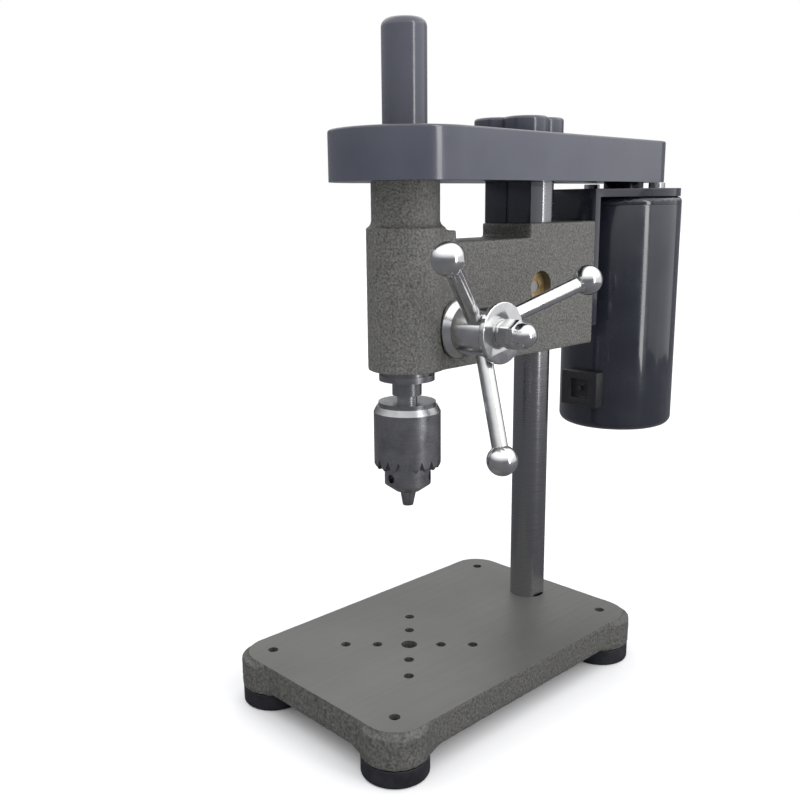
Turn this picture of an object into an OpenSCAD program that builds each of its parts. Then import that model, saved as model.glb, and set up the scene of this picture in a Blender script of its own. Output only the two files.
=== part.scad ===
// Small bench drill press: a round column on a cast base, a cast head that clamps
// to the column, a rack-and-pinion quill with a three-arm feed handle, a keyed
// chuck, and a round belt under a lift-off cover, driven by a motor at the back.
// Millimetres. The origin is the centre of the four bench-bolt holes at bench
// level; +X is the feed-handle side, -Y is the front and +Z is up.

/* [Base] */
// Width of the ground table face
base_w = 75; // [72:1:100]
// Depth of the ground table face
base_d = 119; // [116:1:150]
// Height of the table face above the bench
table_z = 17; // [15:0.5:22]
// Thickness of the base plate
base_t = 9.6; // [8:0.2:12]
// Corner radius of the table face
base_corner_r = 9; // [5:0.5:12]
// How far the cast wall stands outside the ground face
base_skirt = 0.8; // [0.4:0.1:1.5]
// Radius of the rubber feet
foot_r = 10.3; // [8:0.1:13]
// Height of the rubber feet
foot_h = 5.6; // [4.4:0.2:7]
// Distance of the bench-bolt holes from the sides of the table face
bolt_inset_x = 8; // [7:0.5:12]
// Distance of the bench-bolt holes from the front and rear of the table face
bolt_inset_y = 7.7; // [7:0.1:12]
// Diameter of the bench-bolt holes
bench_hole_d = 3.4; // [3:0.1:5.5]
// Diameter of the tapped fixture holes
fixture_hole_d = 3.3; // [2.5:0.1:4.2]
// Step of the fixture holes, the same along X and along Y
fixture_step = 7.6; // [6.5:0.1:10]
// Diameter of the hole under the spindle
centre_hole_d = 5.4; // [4:0.1:7]

/* [Column] */
// Diameter of the column
column_d = 12.7; // [10:0.1:15]
// Distance from the spindle axis to the column axis
throat = 63.5; // [58:0.5:80]
// Height of the column's top above the bench
column_top_z = 170.3; // [150:0.1:172]
// Depth of each spanner flat at the column's foot
flat_depth = 0.95; // [0.3:0.05:1.5]
// Height of the spanner flats
flat_h = 24; // [10:1:50]

/* [Head] */
// Height of the head's underside above the bench
head_z = 111.8; // [100:0.1:130]
// Width of the head casting
head_w = 21.6; // [20:0.1:30]
// Height of the head casting
head_h = 44; // [40:0.5:55]
// Radius of the barrel round the quill
barrel_r = 12.2; // [11:0.1:16]
// Radius of the neck that carries the spindle pulley
neck_r = 10.5; // [9.5:0.1:12]
// Height of the neck above the head
neck_h = 13.5; // [12:0.1:20]
// Depth of the notch in the head's top
notch_depth = 4.8; // [2:0.1:8]
// Distance from the column axis to the front of the column block
block_front = 15.6; // [12:0.1:20]
// Distance from the column axis to the rear face of the head
block_rear = 21.1; // [14:0.1:26]
// Height of the column lock above the head's underside
lock_height = 22.5; // [14:0.5:30]
// Diameter of the two lock shoes
lock_d = 10.9; // [8:0.1:13]

/* [Quill and spindle] */
// Diameter of the quill
quill_d = 16; // [15:0.1:17]
// Travel of the quill
quill_travel = 25; // [15:1:25]
// Diameter of the spindle
spindle_d = 6; // [5:0.1:6.4]
// Height of the feed axis above the head's underside
feed_height = 12.5; // [12:0.1:16]
// Module of the rack and pinion
gear_module = 0.8; // [0.7:0.05:0.85]
// Teeth on the pinion
pinion_teeth = 15; // [14:1:16]

/* [Feed handle] */
// Reach of the handle balls from the feed axis
handle_reach = 38; // [28:0.5:50]
// How far the balls stand out from the hub's end face
handle_rise = 4.8; // [0:0.1:8]
// Diameter of the handle balls
ball_d = 9.6; // [8:0.1:14]
// Diameter of the handle arms
arm_d = 5; // [4:0.1:6]
// Length of the hub
hub_l = 15.65; // [13:0.05:20]
// Radius of the hub's barrel
hub_r = 8; // [7.5:0.1:9.5]

/* [Chuck] */
// Diameter of the chuck sleeve
chuck_d = 21.5; // [20.8:0.1:26]
// Height of the chuck sleeve
sleeve_h = 20.1; // [19:0.1:24]
// Diameter of the chuck's nose
nose_d = 15; // [13:0.1:16]
// Radius of each jaw
jaw_r = 1.7; // [1.4:0.05:1.9]
// Largest drill that the jaws take
chuck_capacity = 4; // [2:0.5:4]

/* [Belt drive] */
// Distance from the spindle axis to the motor axis
belt_centres = 118.5; // [110:0.5:140]
// Pitch radius of the spindle pulley
spindle_pulley_r = 17; // [12:0.5:17]
// Pitch radius of the motor pulley
motor_pulley_r = 8.5; // [7:0.5:9]
// Diameter of the round belt
belt_d = 3.9; // [3:0.1:4]

/* [Belt cover] */
// Radius of the cover's front end
cover_front_r = 23.2; // [22.8:0.1:30]
// Radius of the cover's rear end
cover_rear_r = 15; // [14.5:0.1:22]
// Height of the cover
cover_h = 15; // [14.5:0.5:22]
// Wall of the cover
cover_wall = 1.5; // [1:0.1:2]
// Radius of the tower over the spindle's top
tower_r = 6.8; // [6:0.1:9]
// Height of the tower above the cover
tower_h = 31.2; // [30:0.1:45]

/* [Motor] */
// Radius of the motor
motor_r = 22; // [20:0.5:25]
// Height of the motor's underside above the bench
motor_z = 75.5; // [60:0.5:90]
// Thickness of the motor bracket
bracket_t = 3; // [2:0.5:4]

/* [Hidden] */
$fn = 64;

// Clearances, all radial unless they say otherwise.
running = 0.04;      // shaft in its bore
sliding = 0.05;      // quill and column in the head
seat = 0.02;         // parts pressed, screwed or glued together
face_gap = 0.3;      // faces that pass each other
through = 1;         // how far a cut runs past a face

// Places of the three main axes and of the head's faces.
bolt_x = base_w / 2 - bolt_inset_x;
bolt_y = base_d / 2 - bolt_inset_y;
spindle_y = -16.7;
column_y = spindle_y + throat;
motor_y = spindle_y + belt_centres;
head_top_z = head_z + head_h;
cover_z = head_top_z + neck_h;
cover_top_z = cover_z + cover_h;
head_rear_y = column_y + block_rear;
block_front_y = column_y - block_front;
side_x = head_w / 2;

// Base and column foot.
base_bottom_z = table_z - base_t;
spigot_r = column_d / 2 - 1.35;
shoulder_h = 1.2;      // how deep the column's full diameter sits in the base
column_chamfer = 0.6;
column_nut_t = 4.4;
column_nut_af = 16;
nut_pocket_h = 5;
column_nut_z = base_bottom_z + nut_pocket_h - column_nut_t;

// Rack and pinion: the rack's pitch plane lies just inside the quill's surface.
pressure_angle = 20;
pitch_r = gear_module * pinion_teeth / 2;
tooth_pitch = PI * gear_module;
rack_pitch_offset = quill_d / 2 - 1.1;
feed_y = spindle_y + rack_pitch_offset + pitch_r;
feed_z = head_z + feed_height;
pinion_tip_r = pitch_r + gear_module;
pinion_root_r = pitch_r - 1.25 * gear_module;
rack_addendum = 0.65;
flank_play = 0.05;
rack_reach = 4.8;
journal_r = pinion_tip_r + 0.2;
// the journal starts where it clears the round of the quill
pinion_half_l = 0.2 + sqrt(pow(quill_d / 2, 2) - pow(rack_pitch_offset + pitch_r - journal_r, 2));
small_journal_r = 3;
stub_r = 4;

// Quill, spindle and the bearings between them.
quill_r = quill_d / 2;
quill_z = head_z - 1.5;
bearing_t = 4;
bearing_pocket = 4.2;
pulley_bearing_t = 4.9;
pulley_bearing_z = cover_z - 2 * pulley_bearing_t - 0.1;
quill_top_z = pulley_bearing_z - 0.5;
spindle_r = spindle_d / 2;
quill_bearing_r = spindle_r + 3;
quill_top_pocket = bearing_pocket + 0.4;
quill_nut_r = quill_r + 0.85;
quill_nut_t = 1.9;
spindle_collar_r = 4.72;
spindle_collar_z = quill_z - quill_nut_t - 4.8;
spindle_neck_h = 2.1;
spindle_top_z = cover_top_z + 26.7;
spindle_flat = spindle_r - 0.6;
guide_angle = 200;
guide_z = feed_z + 1.7;
guide_screw_r = 2;
guide_dog_r = 1.45;
guide_slot_depth = 2;

// Chuck: the jaws' axes meet the spindle axis at the closed tip.
chuck_top_z = spindle_collar_z - spindle_neck_h;
chuck_disc_h = 1.3;
sleeve_top_z = chuck_top_z - chuck_disc_h;
sleeve_z = sleeve_top_z - sleeve_h;
chuck_r = chuck_d / 2;
sleeve_inner_r = chuck_r - 1.45;
sleeve_lip_h = 3.8;
nose_r = nose_d / 2;
nose_z = sleeve_z - 5.7;
nose_tip_z = nose_z - 2.4;
nose_tip_r = 4.15;
jaw_angle = 12;
jaw_tip_z = nose_tip_z - 5.1;
jaw_l = 20;
jaw_travel = chuck_capacity / 2 / sin(jaw_angle);
nut_groove_h = 4.3;
chuck_nut_t = 4;
groove_z = sleeve_z + sleeve_lip_h + 0.1;
taper_l = 9.6;
taper_top_r = 3.2;
taper_small_r = 2.94;
key_teeth = 18;
key_tooth_h = 3.6;
key_hole_r = 1.4;

// Feed handle.
hub_x = side_x + 0.15;
hub_end_x = hub_x + hub_l;
hub_flange_r = 9.7;
hub_flange_t = 1.4;
hub_disc_r = 9.5;
hub_disc_t = 2;
disc_end_x = hub_end_x + hub_disc_t;
washer_t = 1;
washer_r = 4.15;
acorn_af = 8;
acorn_hex_h = 5.2;
acorn_dome_r = 3.7;
acorn_x = disc_end_x + washer_t;
arm_root_x = hub_x + 11.05;
arm_root_r = 5;
ball_x = disc_end_x + handle_rise;
ball_r = ball_d / 2;
arm_r = arm_d / 2;
arm_angle = atan2(ball_x - arm_root_x, handle_reach - hub_r);
arm_stud_r = 1.5;
handle_angles = [-98.6, 21.4, 141.4];
thread_r = 2.5;

// Return spring in its cup on the left side.
cup_r = 11;
cup_wall = 1.2;
cup_seat = 1;
cup_l = 9.6;
spring_t = 0.4;
spring_turns = 5;
spring_w = 6;

// Column lock.
lock_y = column_y - 9.6;
lock_z = head_z + lock_height;
lock_r = lock_d / 2;
lock_recess = 2.6;
lock_stud_r = 2;
lock_knob_r = 7;

// Cover post, guard plate and cover knob.
knob_y = lock_y;
post_front_y = column_y - 15.1;
post_t = 6.5;
post_half_w = 10;
cover_stud_r = 1.5;
guard_t = 1;
guard_gap = 0.3;
knob_h = 5.4;
knob_lobe_r = 7.4;
knob_lobe_at = 7.8;

// Belt drive.
belt_z = cover_z + 6.7;
pulley_half_h = 5;
rim_over = 1.8;
groove_deep = 2.1;
groove_half_open = 3.6;
groove_half_floor = 1.2;

// Motor.
bracket_top_z = cover_z - 2.3;
bell_top_z = bracket_top_z - bracket_t;
bell_t = 3;
can_top_z = bell_top_z - bell_t;
can_wall = 1.5;
can_inner_r = motor_r - can_wall;
motor_shaft_r = 2.5;
motor_boss_r = 7.5;
motor_bearing_r = 5.5;
motor_screw_x = 14.5;
armature_r = can_inner_r - 4.6;
commutator_r = 5;
leg_h = 46;
bracket_end_r = motor_r - 0.5;

// Points of an arc from angle a0 to a1 about (cx, cy).
function arc(cx, cy, r, a0, a1, n) =
    [for (i = [0 : n]) [cx + r * cos(a0 + (a1 - a0) * i / n),
                        cy + r * sin(a0 + (a1 - a0) * i / n)]];

// Outline that wraps two circles on the Y axis, as a belt wraps two pulleys.
function wrap(y1, r1, y2, r2, n) =
    let (b = asin((r1 - r2) / (y2 - y1)))
    concat(arc(0, y1, r1, 180 - b, 360 + b, n), arc(0, y2, r2, b, 180 - b, n));

// Half profile of a disc with rounded edges, for rotate_extrude.
function disc_profile(r, z0, z1, low_r, high_r) = concat(
    [[0, z0]],
    arc(r - low_r, z0 + low_r, low_r, -90, 0, 6),
    arc(r - high_r, z1 - high_r, high_r, 0, 90, 6),
    [[0, z1]]);

// Involute angle at radius r of a base circle rb, in degrees.
function involute(r, rb) = let (t = sqrt(pow(r / rb, 2) - 1)) t * 180 / PI - atan(t);

// Outline of a spur gear; flank_play is taken off each flank at the pitch circle.
function gear_flank(r, half, rb, side) =
    let (a = side * (half - (r > rb ? involute(r, rb) : 0))) [r * cos(a), r * sin(a)];

module gear_outline(teeth, pr, tip, root) {
    rb = pr * cos(pressure_angle);
    half = 90 / teeth - flank_play / pr * 180 / PI + involute(pr, rb);
    radii = [root - 0.3, rb, rb + (tip - rb) / 3, rb + (tip - rb) * 2 / 3, tip];
    circle(r = root);
    for (k = [0 : teeth - 1]) rotate(k * 360 / teeth)
        polygon(concat(
            [for (i = [0 : 4]) gear_flank(radii[i], half, rb, -1)],
            [for (i = [4 : -1 : 0]) gear_flank(radii[i], half, rb, 1)]));
}

module at_spindle(z) translate([0, spindle_y, z]) children();
module at_column(z) translate([0, column_y, z]) children();
module at_motor(z) translate([0, motor_y, z]) children();
// Turns local Z into +X on the feed axis, so that local lengths are X positions.
module on_feed_axis() translate([0, feed_y, feed_z]) rotate([0, 90, 0]) children();
module on_lock_axis() translate([0, lock_y, lock_z]) rotate([0, 90, 0]) children();
module at_bolts() for (sx = [-1, 1], sy = [-1, 1])
    translate([sx * bolt_x, sy * bolt_y, 0]) children();

module ring(outer_r, inner_r, z0, h) translate([0, 0, z0]) difference() {
    cylinder(r = outer_r, h = h);
    translate([0, 0, -through]) cylinder(r = inner_r, h = h + 2 * through);
}

// ---- Base -------------------------------------------------------------------

module base_casting() color("dimgray") difference() {
    union() {
        hull() for (sx = [-1, 1], sy = [-1, 1])
            translate([sx * (base_w / 2 - base_corner_r), sy * (base_d / 2 - base_corner_r), 0])
                rotate_extrude($fn = 32)
                    polygon(disc_profile(base_corner_r + base_skirt, base_bottom_z, table_z, 0.3, base_skirt));
        at_bolts() rotate_extrude()
            polygon(disc_profile(foot_r + 0.3, foot_h, table_z - 1, 0.2, 3.5));
    }
    at_bolts() cylinder(d = bench_hole_d, h = table_z + through);
    at_spindle(0) cylinder(d = centre_hole_d, h = table_z + through);
    for (k = [-2, -1, 1, 2], s = [-1, 1])
        translate([k * fixture_step, spindle_y + s * k * fixture_step, 0])
            cylinder(d = fixture_hole_d, h = table_z + through);
    at_column(0) cylinder(r = spigot_r + seat, h = table_z + through);
    at_column(table_z - shoulder_h) cylinder(r = column_d / 2 + seat, h = shoulder_h + through);
    at_column(0) cylinder(r = column_nut_af / 2 / cos(30) + 1.2, h = base_bottom_z + nut_pocket_h);
}

module rubber_feet() color([0.12, 0.12, 0.15]) at_bolts() difference() {
    rotate_extrude() polygon(disc_profile(foot_r, 0, foot_h, 0.8, 0.2));
    translate([0, 0, -through]) cylinder(d = bench_hole_d, h = foot_h + 2 * through);
}

module column() color("gray") at_column(0) difference() {
    union() {
        translate([0, 0, table_z - shoulder_h])
            cylinder(d = column_d, h = column_top_z - table_z + shoulder_h - column_chamfer);
        translate([0, 0, column_top_z - column_chamfer])
            cylinder(r1 = column_d / 2, r2 = column_d / 2 - column_chamfer, h = column_chamfer);
        translate([0, 0, base_bottom_z + 0.2]) cylinder(r = spigot_r, h = base_t);
    }
    for (s = [-1, 1]) translate([s * (column_d - flat_depth), 0, table_z + flat_h / 2])
        cube([column_d, column_d + 2, flat_h], center = true);
}

module column_nut() color("silver") at_column(column_nut_z) difference() {
    cylinder(d = column_nut_af / cos(30), h = column_nut_t, $fn = 6);
    translate([0, 0, -through]) cylinder(r = spigot_r + seat, h = column_nut_t + 2 * through);
}

// ---- Head -------------------------------------------------------------------

module head_casting() color("dimgray") difference() {
    union() {
        translate([-side_x, spindle_y, head_z])
            cube([head_w, head_rear_y - spindle_y, head_h - notch_depth]);
        translate([-side_x, block_front_y, head_z])
            cube([head_w, head_rear_y - block_front_y, head_h]);
        at_spindle(head_z) cylinder(r = barrel_r, h = head_h);
        at_spindle(head_z) cylinder(r = neck_r, h = cover_z - head_z);
        at_spindle(head_top_z) cylinder(r1 = neck_r + 1, r2 = neck_r, h = 1.5);
    }
    at_spindle(head_z - through) cylinder(r = quill_r + sliding, h = cover_z - head_z + 2 * through);
    at_column(head_z - through) cylinder(r = column_d / 2 + sliding, h = head_h + 2 * through);
    // cross bore for the pinion, its small journal, and the seats at both ends
    on_feed_axis() translate([0, 0, -pinion_half_l - face_gap])
        cylinder(r = journal_r + running, h = side_x + pinion_half_l + face_gap + through);
    on_feed_axis() translate([0, 0, -side_x - through])
        cylinder(r = small_journal_r + running, h = side_x);
    on_feed_axis() translate([0, 0, side_x]) cylinder(r = hub_flange_r + face_gap, h = barrel_r);
    on_feed_axis() translate([0, 0, -side_x + cup_seat - barrel_r])
        cylinder(r = cup_r + seat, h = barrel_r);
    on_lock_axis() cylinder(r = lock_r + sliding, h = head_w + 2 * through, center = true);
    guide_screw_hole();
    bracket_screw_places() cylinder(r = screw_r + seat, h = screw_l);
    translate([0, post_front_y + post_t / 2, head_top_z - post_pin_l - 0.2])
        cylinder(r = post_pin_r + seat, h = post_pin_l + through);
}

module guide_screw_hole() at_spindle(guide_z) rotate([0, 0, guide_angle]) rotate([0, 90, 0])
    translate([0, 0, quill_r - 1]) cylinder(r = guide_screw_r + seat, h = barrel_r);

module quill_guide_screw() color("silver") at_spindle(guide_z)
    rotate([0, 0, guide_angle]) rotate([0, 90, 0]) difference() {
        union() {
            translate([0, 0, quill_r + face_gap])
                cylinder(r = guide_screw_r, h = barrel_r - quill_r - face_gap - 0.2);
            translate([0, 0, quill_r - guide_slot_depth + face_gap])
                cylinder(r = guide_dog_r, h = guide_slot_depth);
        }
        translate([0, 0, barrel_r - 1.5]) cylinder(r = 1.1, h = 2, $fn = 6);
    }

module lock_shoe(x0, x1, bore_r) color("goldenrod") difference() {
    on_lock_axis() translate([0, 0, x0]) cylinder(r = lock_r, h = x1 - x0);
    at_column(head_z) cylinder(r = column_d / 2 + sliding, h = head_h);
    on_lock_axis() translate([0, 0, x0 - through]) cylinder(r = bore_r, h = x1 - x0 + 2 * through);
}
module lock_shoe_right() lock_shoe(1.2, side_x - lock_recess, lock_stud_r + running);
module lock_shoe_left() lock_shoe(-side_x + 0.4, -1.2, lock_stud_r + running);

module lock_stud() color("silver") on_lock_axis() translate([0, 0, -side_x - 8])
    cylinder(r = lock_stud_r, h = head_w + 8 - lock_recess - 0.2);

module lock_knob() color([0.1, 0.1, 0.12]) difference() {
    on_lock_axis() translate([0, 0, -side_x - 11]) {
        difference() {
            cylinder(r = lock_knob_r, h = 8);
            for (k = [0 : 5]) rotate(k * 60) translate([lock_knob_r + 1.2, 0, -through])
                cylinder(r = 2.4, h = 8 + 2 * through);
        }
        translate([0, 0, 8]) cylinder(r = 4.6, h = 3 - face_gap);
    }
    on_lock_axis() translate([0, 0, -side_x - 8])
        cylinder(r = lock_stud_r + seat, h = 9);
}

// Post that carries the guard plate and takes the cover knob's screw.
post_pin_r = 2;
post_pin_l = 4;
module cover_post() color([0.13, 0.14, 0.19]) difference() {
    union() {
        translate([0, 0, head_top_z]) linear_extrude(cover_z - head_top_z) post_outline();
        translate([0, post_front_y + post_t / 2, head_top_z - post_pin_l])
            cylinder(r = post_pin_r, h = post_pin_l + 1);
    }
    translate([0, knob_y, cover_z - 11]) cylinder(r = cover_stud_r + running, h = 12);
    plate_screw_places() translate([0, 0, -6]) cylinder(r = 1.25 + seat, h = 7);
}
module post_outline() difference() {
    union() {
        translate([-post_half_w, post_front_y]) square([2 * post_half_w, post_t]);
        translate([-4, post_front_y]) square([8, column_y - column_d / 2 - 0.6 - post_front_y]);
    }
    translate([-0.6, post_front_y - 1]) square([1.2, 1.5]);
}
module plate_screw_places() for (s = [-1, 1])
    translate([s * 7, post_front_y + post_t / 2, cover_z]) children();

module guard_plate() color([0.13, 0.14, 0.19]) difference() {
    translate([0, 0, cover_z]) linear_extrude(guard_t)
        polygon(wrap(spindle_y, cover_front_r - cover_wall - guard_gap,
                     motor_y, cover_rear_r - cover_wall - guard_gap, 24));
    at_spindle(cover_z - through) cylinder(r = 6.5, h = guard_t + 2 * through);
    at_column(cover_z - through) cylinder(r = column_d / 2 + 0.6, h = guard_t + 2 * through);
    at_motor(cover_z - through) cylinder(r = motor_shaft_r + 1.5, h = guard_t + 2 * through);
    translate([0, knob_y, cover_z - through]) cylinder(r = cover_stud_r + 0.4, h = guard_t + 2 * through);
    plate_screw_places() translate([0, 0, -through]) cylinder(r = 1.4, h = guard_t + 2 * through);
}

module guard_plate_screws() color("silver") plate_screw_places() {
    translate([0, 0, -5]) cylinder(r = 1.25, h = 5 + guard_t);
    translate([0, 0, guard_t]) cylinder(r = 2.2, h = 1.2);
}

// ---- Motor and its bracket -------------------------------------------------

screw_r = 2;
screw_l = 8;
module bracket_screw_places() for (h = [16, 36])
    translate([0, head_rear_y + 0.01, head_z + h]) rotate([90, 0, 0]) children();

module bracket_screws() color("silver") bracket_screw_places() {
    translate([0, 0, -bracket_t]) cylinder(r = screw_r, h = screw_l - 1 + bracket_t);
    translate([0, 0, -bracket_t - 2.4]) cylinder(r = 3.8, h = 2.4);
}

module motor_bracket() color([0.13, 0.14, 0.19]) difference() {
    union() {
        translate([-side_x, head_rear_y, bell_top_z - leg_h])
            cube([head_w, bracket_t, leg_h + bracket_t]);
        translate([0, 0, bell_top_z]) linear_extrude(bracket_t)
            polygon(concat([[-side_x, head_rear_y], [side_x, head_rear_y], [side_x, head_rear_y + 6]],
                           arc(0, motor_y, bracket_end_r, -38, 218, 32),
                           [[-side_x, head_rear_y + 6]]));
    }
    at_motor(bell_top_z - through) cylinder(r = motor_boss_r + seat, h = bracket_t + 2 * through);
    motor_screw_places() translate([0, 0, -through]) cylinder(r = 1.7, h = bracket_t + 2 * through);
    bracket_screw_places() translate([0, 0, -bracket_t - through])
        cylinder(r = screw_r + seat, h = bracket_t + 2 * through);
}

module motor_screw_places() for (s = [-1, 1])
    translate([s * motor_screw_x, motor_y, bell_top_z]) children();

module motor_screws() color("silver") motor_screw_places() {
    translate([0, 0, -4]) cylinder(r = 1.5, h = 4 + bracket_t);
    translate([0, 0, bracket_t]) cylinder(r = 3, h = 2);
}

module motor_can() color([0.11, 0.12, 0.16]) at_motor(0) rotate_extrude()
    polygon(concat(
        [[0, motor_z]],
        arc(motor_r - 3, motor_z + 3, 3, -90, 0, 6),
        [[motor_r, can_top_z], [can_inner_r, can_top_z]],
        arc(can_inner_r - 1.5, motor_z + can_wall + 1.5, 1.5, 0, -90, 4),
        [[motor_boss_r, motor_z + can_wall], [motor_boss_r, motor_z + can_wall + 4.5],
         [motor_bearing_r + seat, motor_z + can_wall + 4.5],
         [motor_bearing_r + seat, motor_z + can_wall + 0.5], [0, motor_z + can_wall + 0.5]]));

module motor_end_bell() color([0.11, 0.12, 0.16]) difference() {
    at_motor(0) union() {
        rotate_extrude() polygon(disc_profile(motor_r, can_top_z, bell_top_z, 0.05, 2));
        translate([0, 0, can_top_z - 3]) cylinder(r = can_inner_r - seat, h = 4);
        translate([0, 0, can_top_z]) cylinder(r = motor_boss_r, h = cover_z - can_top_z);
    }
    at_motor(can_top_z - 4) cylinder(r = motor_bearing_r + seat, h = cover_z - 1 - can_top_z + 4);
    at_motor(can_top_z) cylinder(r = motor_shaft_r + 0.8, h = cover_z - can_top_z + through);
    motor_screw_places() translate([0, 0, -5]) cylinder(r = 1.5 + seat, h = 6);
}

motor_bearing_t = 4;
top_bearing_z = cover_z - 1 - motor_bearing_t;
low_bearing_z = motor_z + can_wall + 0.5;
module motor_bearings() color("silver") at_motor(0)
    for (z = [low_bearing_z, top_bearing_z])
        ring(motor_bearing_r, motor_shaft_r + running, z, motor_bearing_t);

magnet_z = motor_z + 22;
magnet_h = 52;
module motor_magnets() color([0.25, 0.25, 0.27]) at_motor(magnet_z)
    for (a = [30, 210]) rotate(a) rotate_extrude(angle = 120)
        translate([armature_r + 0.8, 0]) square([can_inner_r - armature_r - 0.85, magnet_h]);

commutator_z = motor_z + 8;
commutator_h = 9;
module brush_holder() color([0.45, 0.2, 0.12]) difference() {
    at_motor(commutator_z - 1.4) union() {
        cylinder(r = can_inner_r - seat, h = 1.4);
        for (a = [0, 180]) rotate(a) translate([8, -4.5, 0]) cube([9, 9, 8.4]);
    }
    at_motor(0) cylinder(r = 7, h = cover_z);
    brush_places() translate([-through, -2.52, -2.52]) cube([14, 5.04, 5.04]);
}
module brush_places() for (a = [0, 180])
    at_motor(commutator_z + 3.6) rotate(a) translate([commutator_r + 0.1, 0, 0]) children();
module brushes() color([0.2, 0.2, 0.2]) brush_places() translate([0, -2.5, -2.5]) cube([9, 5, 5]);

module motor_shaft() color("silver") at_motor(low_bearing_z)
    cylinder(r = motor_shaft_r, h = belt_z + pulley_half_h + 0.5 - low_bearing_z);

module armature() color([0.5, 0.3, 0.15]) at_motor(magnet_z + 2) difference() {
    cylinder(r = armature_r, h = magnet_h - 6);
    for (k = [0 : 9]) rotate(k * 36) translate([armature_r - 4, -0.7, -through])
        cube([6, 1.4, magnet_h]);
    translate([0, 0, -through]) cylinder(r = motor_shaft_r + seat, h = magnet_h);
}

module commutator() color("peru") at_motor(0)
    ring(commutator_r, motor_shaft_r + seat, commutator_z, commutator_h);

// Low-voltage socket on the front of the motor.
inlet_half_w = 8;
inlet_out = 3.2;
inlet_z = motor_z + 9.5;
inlet_h = 13.5;
module power_inlet() color([0.08, 0.08, 0.1]) {
    difference() {
        translate([-inlet_half_w, motor_y - motor_r - inlet_out, inlet_z])
            cube([2 * inlet_half_w, inlet_out + 4, inlet_h]);
        at_motor(inlet_z - through) cylinder(r = motor_r + seat, h = inlet_h + 2 * through);
        translate([-inlet_half_w / 2, motor_y - motor_r - inlet_out - through, inlet_z + 3])
            cube([inlet_half_w, through + 2, 7.5]);
    }
    translate([0, motor_y - motor_r - inlet_out + 1, inlet_z + 6.7]) rotate([90, 0, 0])
        translate([0, 0, -1.2]) cylinder(r = 1, h = 1.8);
}

// ---- Belt drive -------------------------------------------------------------

// Half profile of a round-belt pulley rim from radius r0 out, centred on belt_z.
module pulley_rim(pitch, r0) rotate_extrude() polygon([
    [r0, belt_z - pulley_half_h], [pitch + rim_over, belt_z - pulley_half_h],
    [pitch + rim_over, belt_z - groove_half_open], [pitch - groove_deep, belt_z - groove_half_floor],
    [pitch - groove_deep, belt_z + groove_half_floor], [pitch + rim_over, belt_z + groove_half_open],
    [pitch + rim_over, belt_z + pulley_half_h], [r0, belt_z + pulley_half_h]]);

pulley_hub_z = pulley_bearing_z + 0.2;
module spindle_pulley() color("silver") difference() {
    at_spindle(0) union() {
        pulley_rim(spindle_pulley_r, 2);
        translate([0, 0, pulley_hub_z]) cylinder(r = stub_r, h = belt_z - pulley_hub_z);
        translate([0, 0, cover_z + 0.2]) cylinder(r = 5.5, h = 3);
    }
    at_spindle(pulley_hub_z - through) intersection() {
        cylinder(r = spindle_r + running, h = cover_top_z - pulley_hub_z);
        translate([0, 0, 25]) cube([2 * (spindle_flat + running), 20, 60], center = true);
    }
}

module pulley_bearings() color("silver") at_spindle(0) for (k = [0, 1])
    ring(quill_r + sliding - seat, stub_r + running,
         pulley_bearing_z + k * (pulley_bearing_t + 0.1), pulley_bearing_t);

module motor_pulley() color("silver") difference() {
    at_motor(0) pulley_rim(motor_pulley_r, 2);
    at_motor(cover_z) cylinder(r = motor_shaft_r + seat, h = cover_h);
}

// Round belt swept along the line that wraps both pulleys.
belt_sides = 10;
module drive_belt() color([0.85, 0.55, 0.1]) {
    path = wrap(spindle_y, spindle_pulley_r, motor_y, motor_pulley_r, 20);
    n = len(path);
    points = [for (i = [0 : n - 1]) let (
        c = path[i],
        hub = i <= 20 ? spindle_y : motor_y,
        out = [c[0], c[1] - hub] / norm([c[0], c[1] - hub]))
        for (j = [0 : belt_sides - 1]) let (a = j * 360 / belt_sides)
            [c[0] + belt_d / 2 * cos(a) * out[0], c[1] + belt_d / 2 * cos(a) * out[1],
             belt_z + belt_d / 2 * sin(a)]];
    faces = [for (i = [0 : n - 1], j = [0 : belt_sides - 1]) let (
        i2 = (i + 1) % n, j2 = (j + 1) % belt_sides)
        [i * belt_sides + j, i * belt_sides + j2, i2 * belt_sides + j2, i2 * belt_sides + j]];
    polyhedron(points, faces, convexity = 6);
}

module belt_cover() color([0.13, 0.14, 0.19]) difference() {
    union() {
        translate([0, 0, cover_z]) linear_extrude(cover_h)
            polygon(wrap(spindle_y, cover_front_r, motor_y, cover_rear_r, 32));
        at_spindle(0) rotate_extrude()
            polygon(disc_profile(tower_r, cover_top_z - 1, cover_top_z + tower_h, 0.05, 2.5));
    }
    translate([0, 0, cover_z - through]) linear_extrude(cover_h - cover_wall + through)
        polygon(wrap(spindle_y, cover_front_r - cover_wall, motor_y, cover_rear_r - cover_wall, 32));
    at_spindle(cover_z) cylinder(r = tower_r - cover_wall, h = cover_h + tower_h - cover_wall);
    translate([0, knob_y, cover_z]) cylinder(r = cover_stud_r + 0.3, h = cover_h + through);
}

module cover_knob() color([0.13, 0.14, 0.19]) translate([0, knob_y, 0]) {
    translate([0, 0, cover_top_z + face_gap]) linear_extrude(knob_h) union() {
        circle(r = knob_lobe_at);
        for (a = [-36, 54, 144, 234]) rotate(a) translate([knob_lobe_at, 0]) circle(r = knob_lobe_r);
    }
    translate([0, 0, cover_z - 9]) cylinder(r = cover_stud_r, h = cover_h + 9 + 1);
}

// ---- Feed handle and return spring -----------------------------------------

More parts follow.
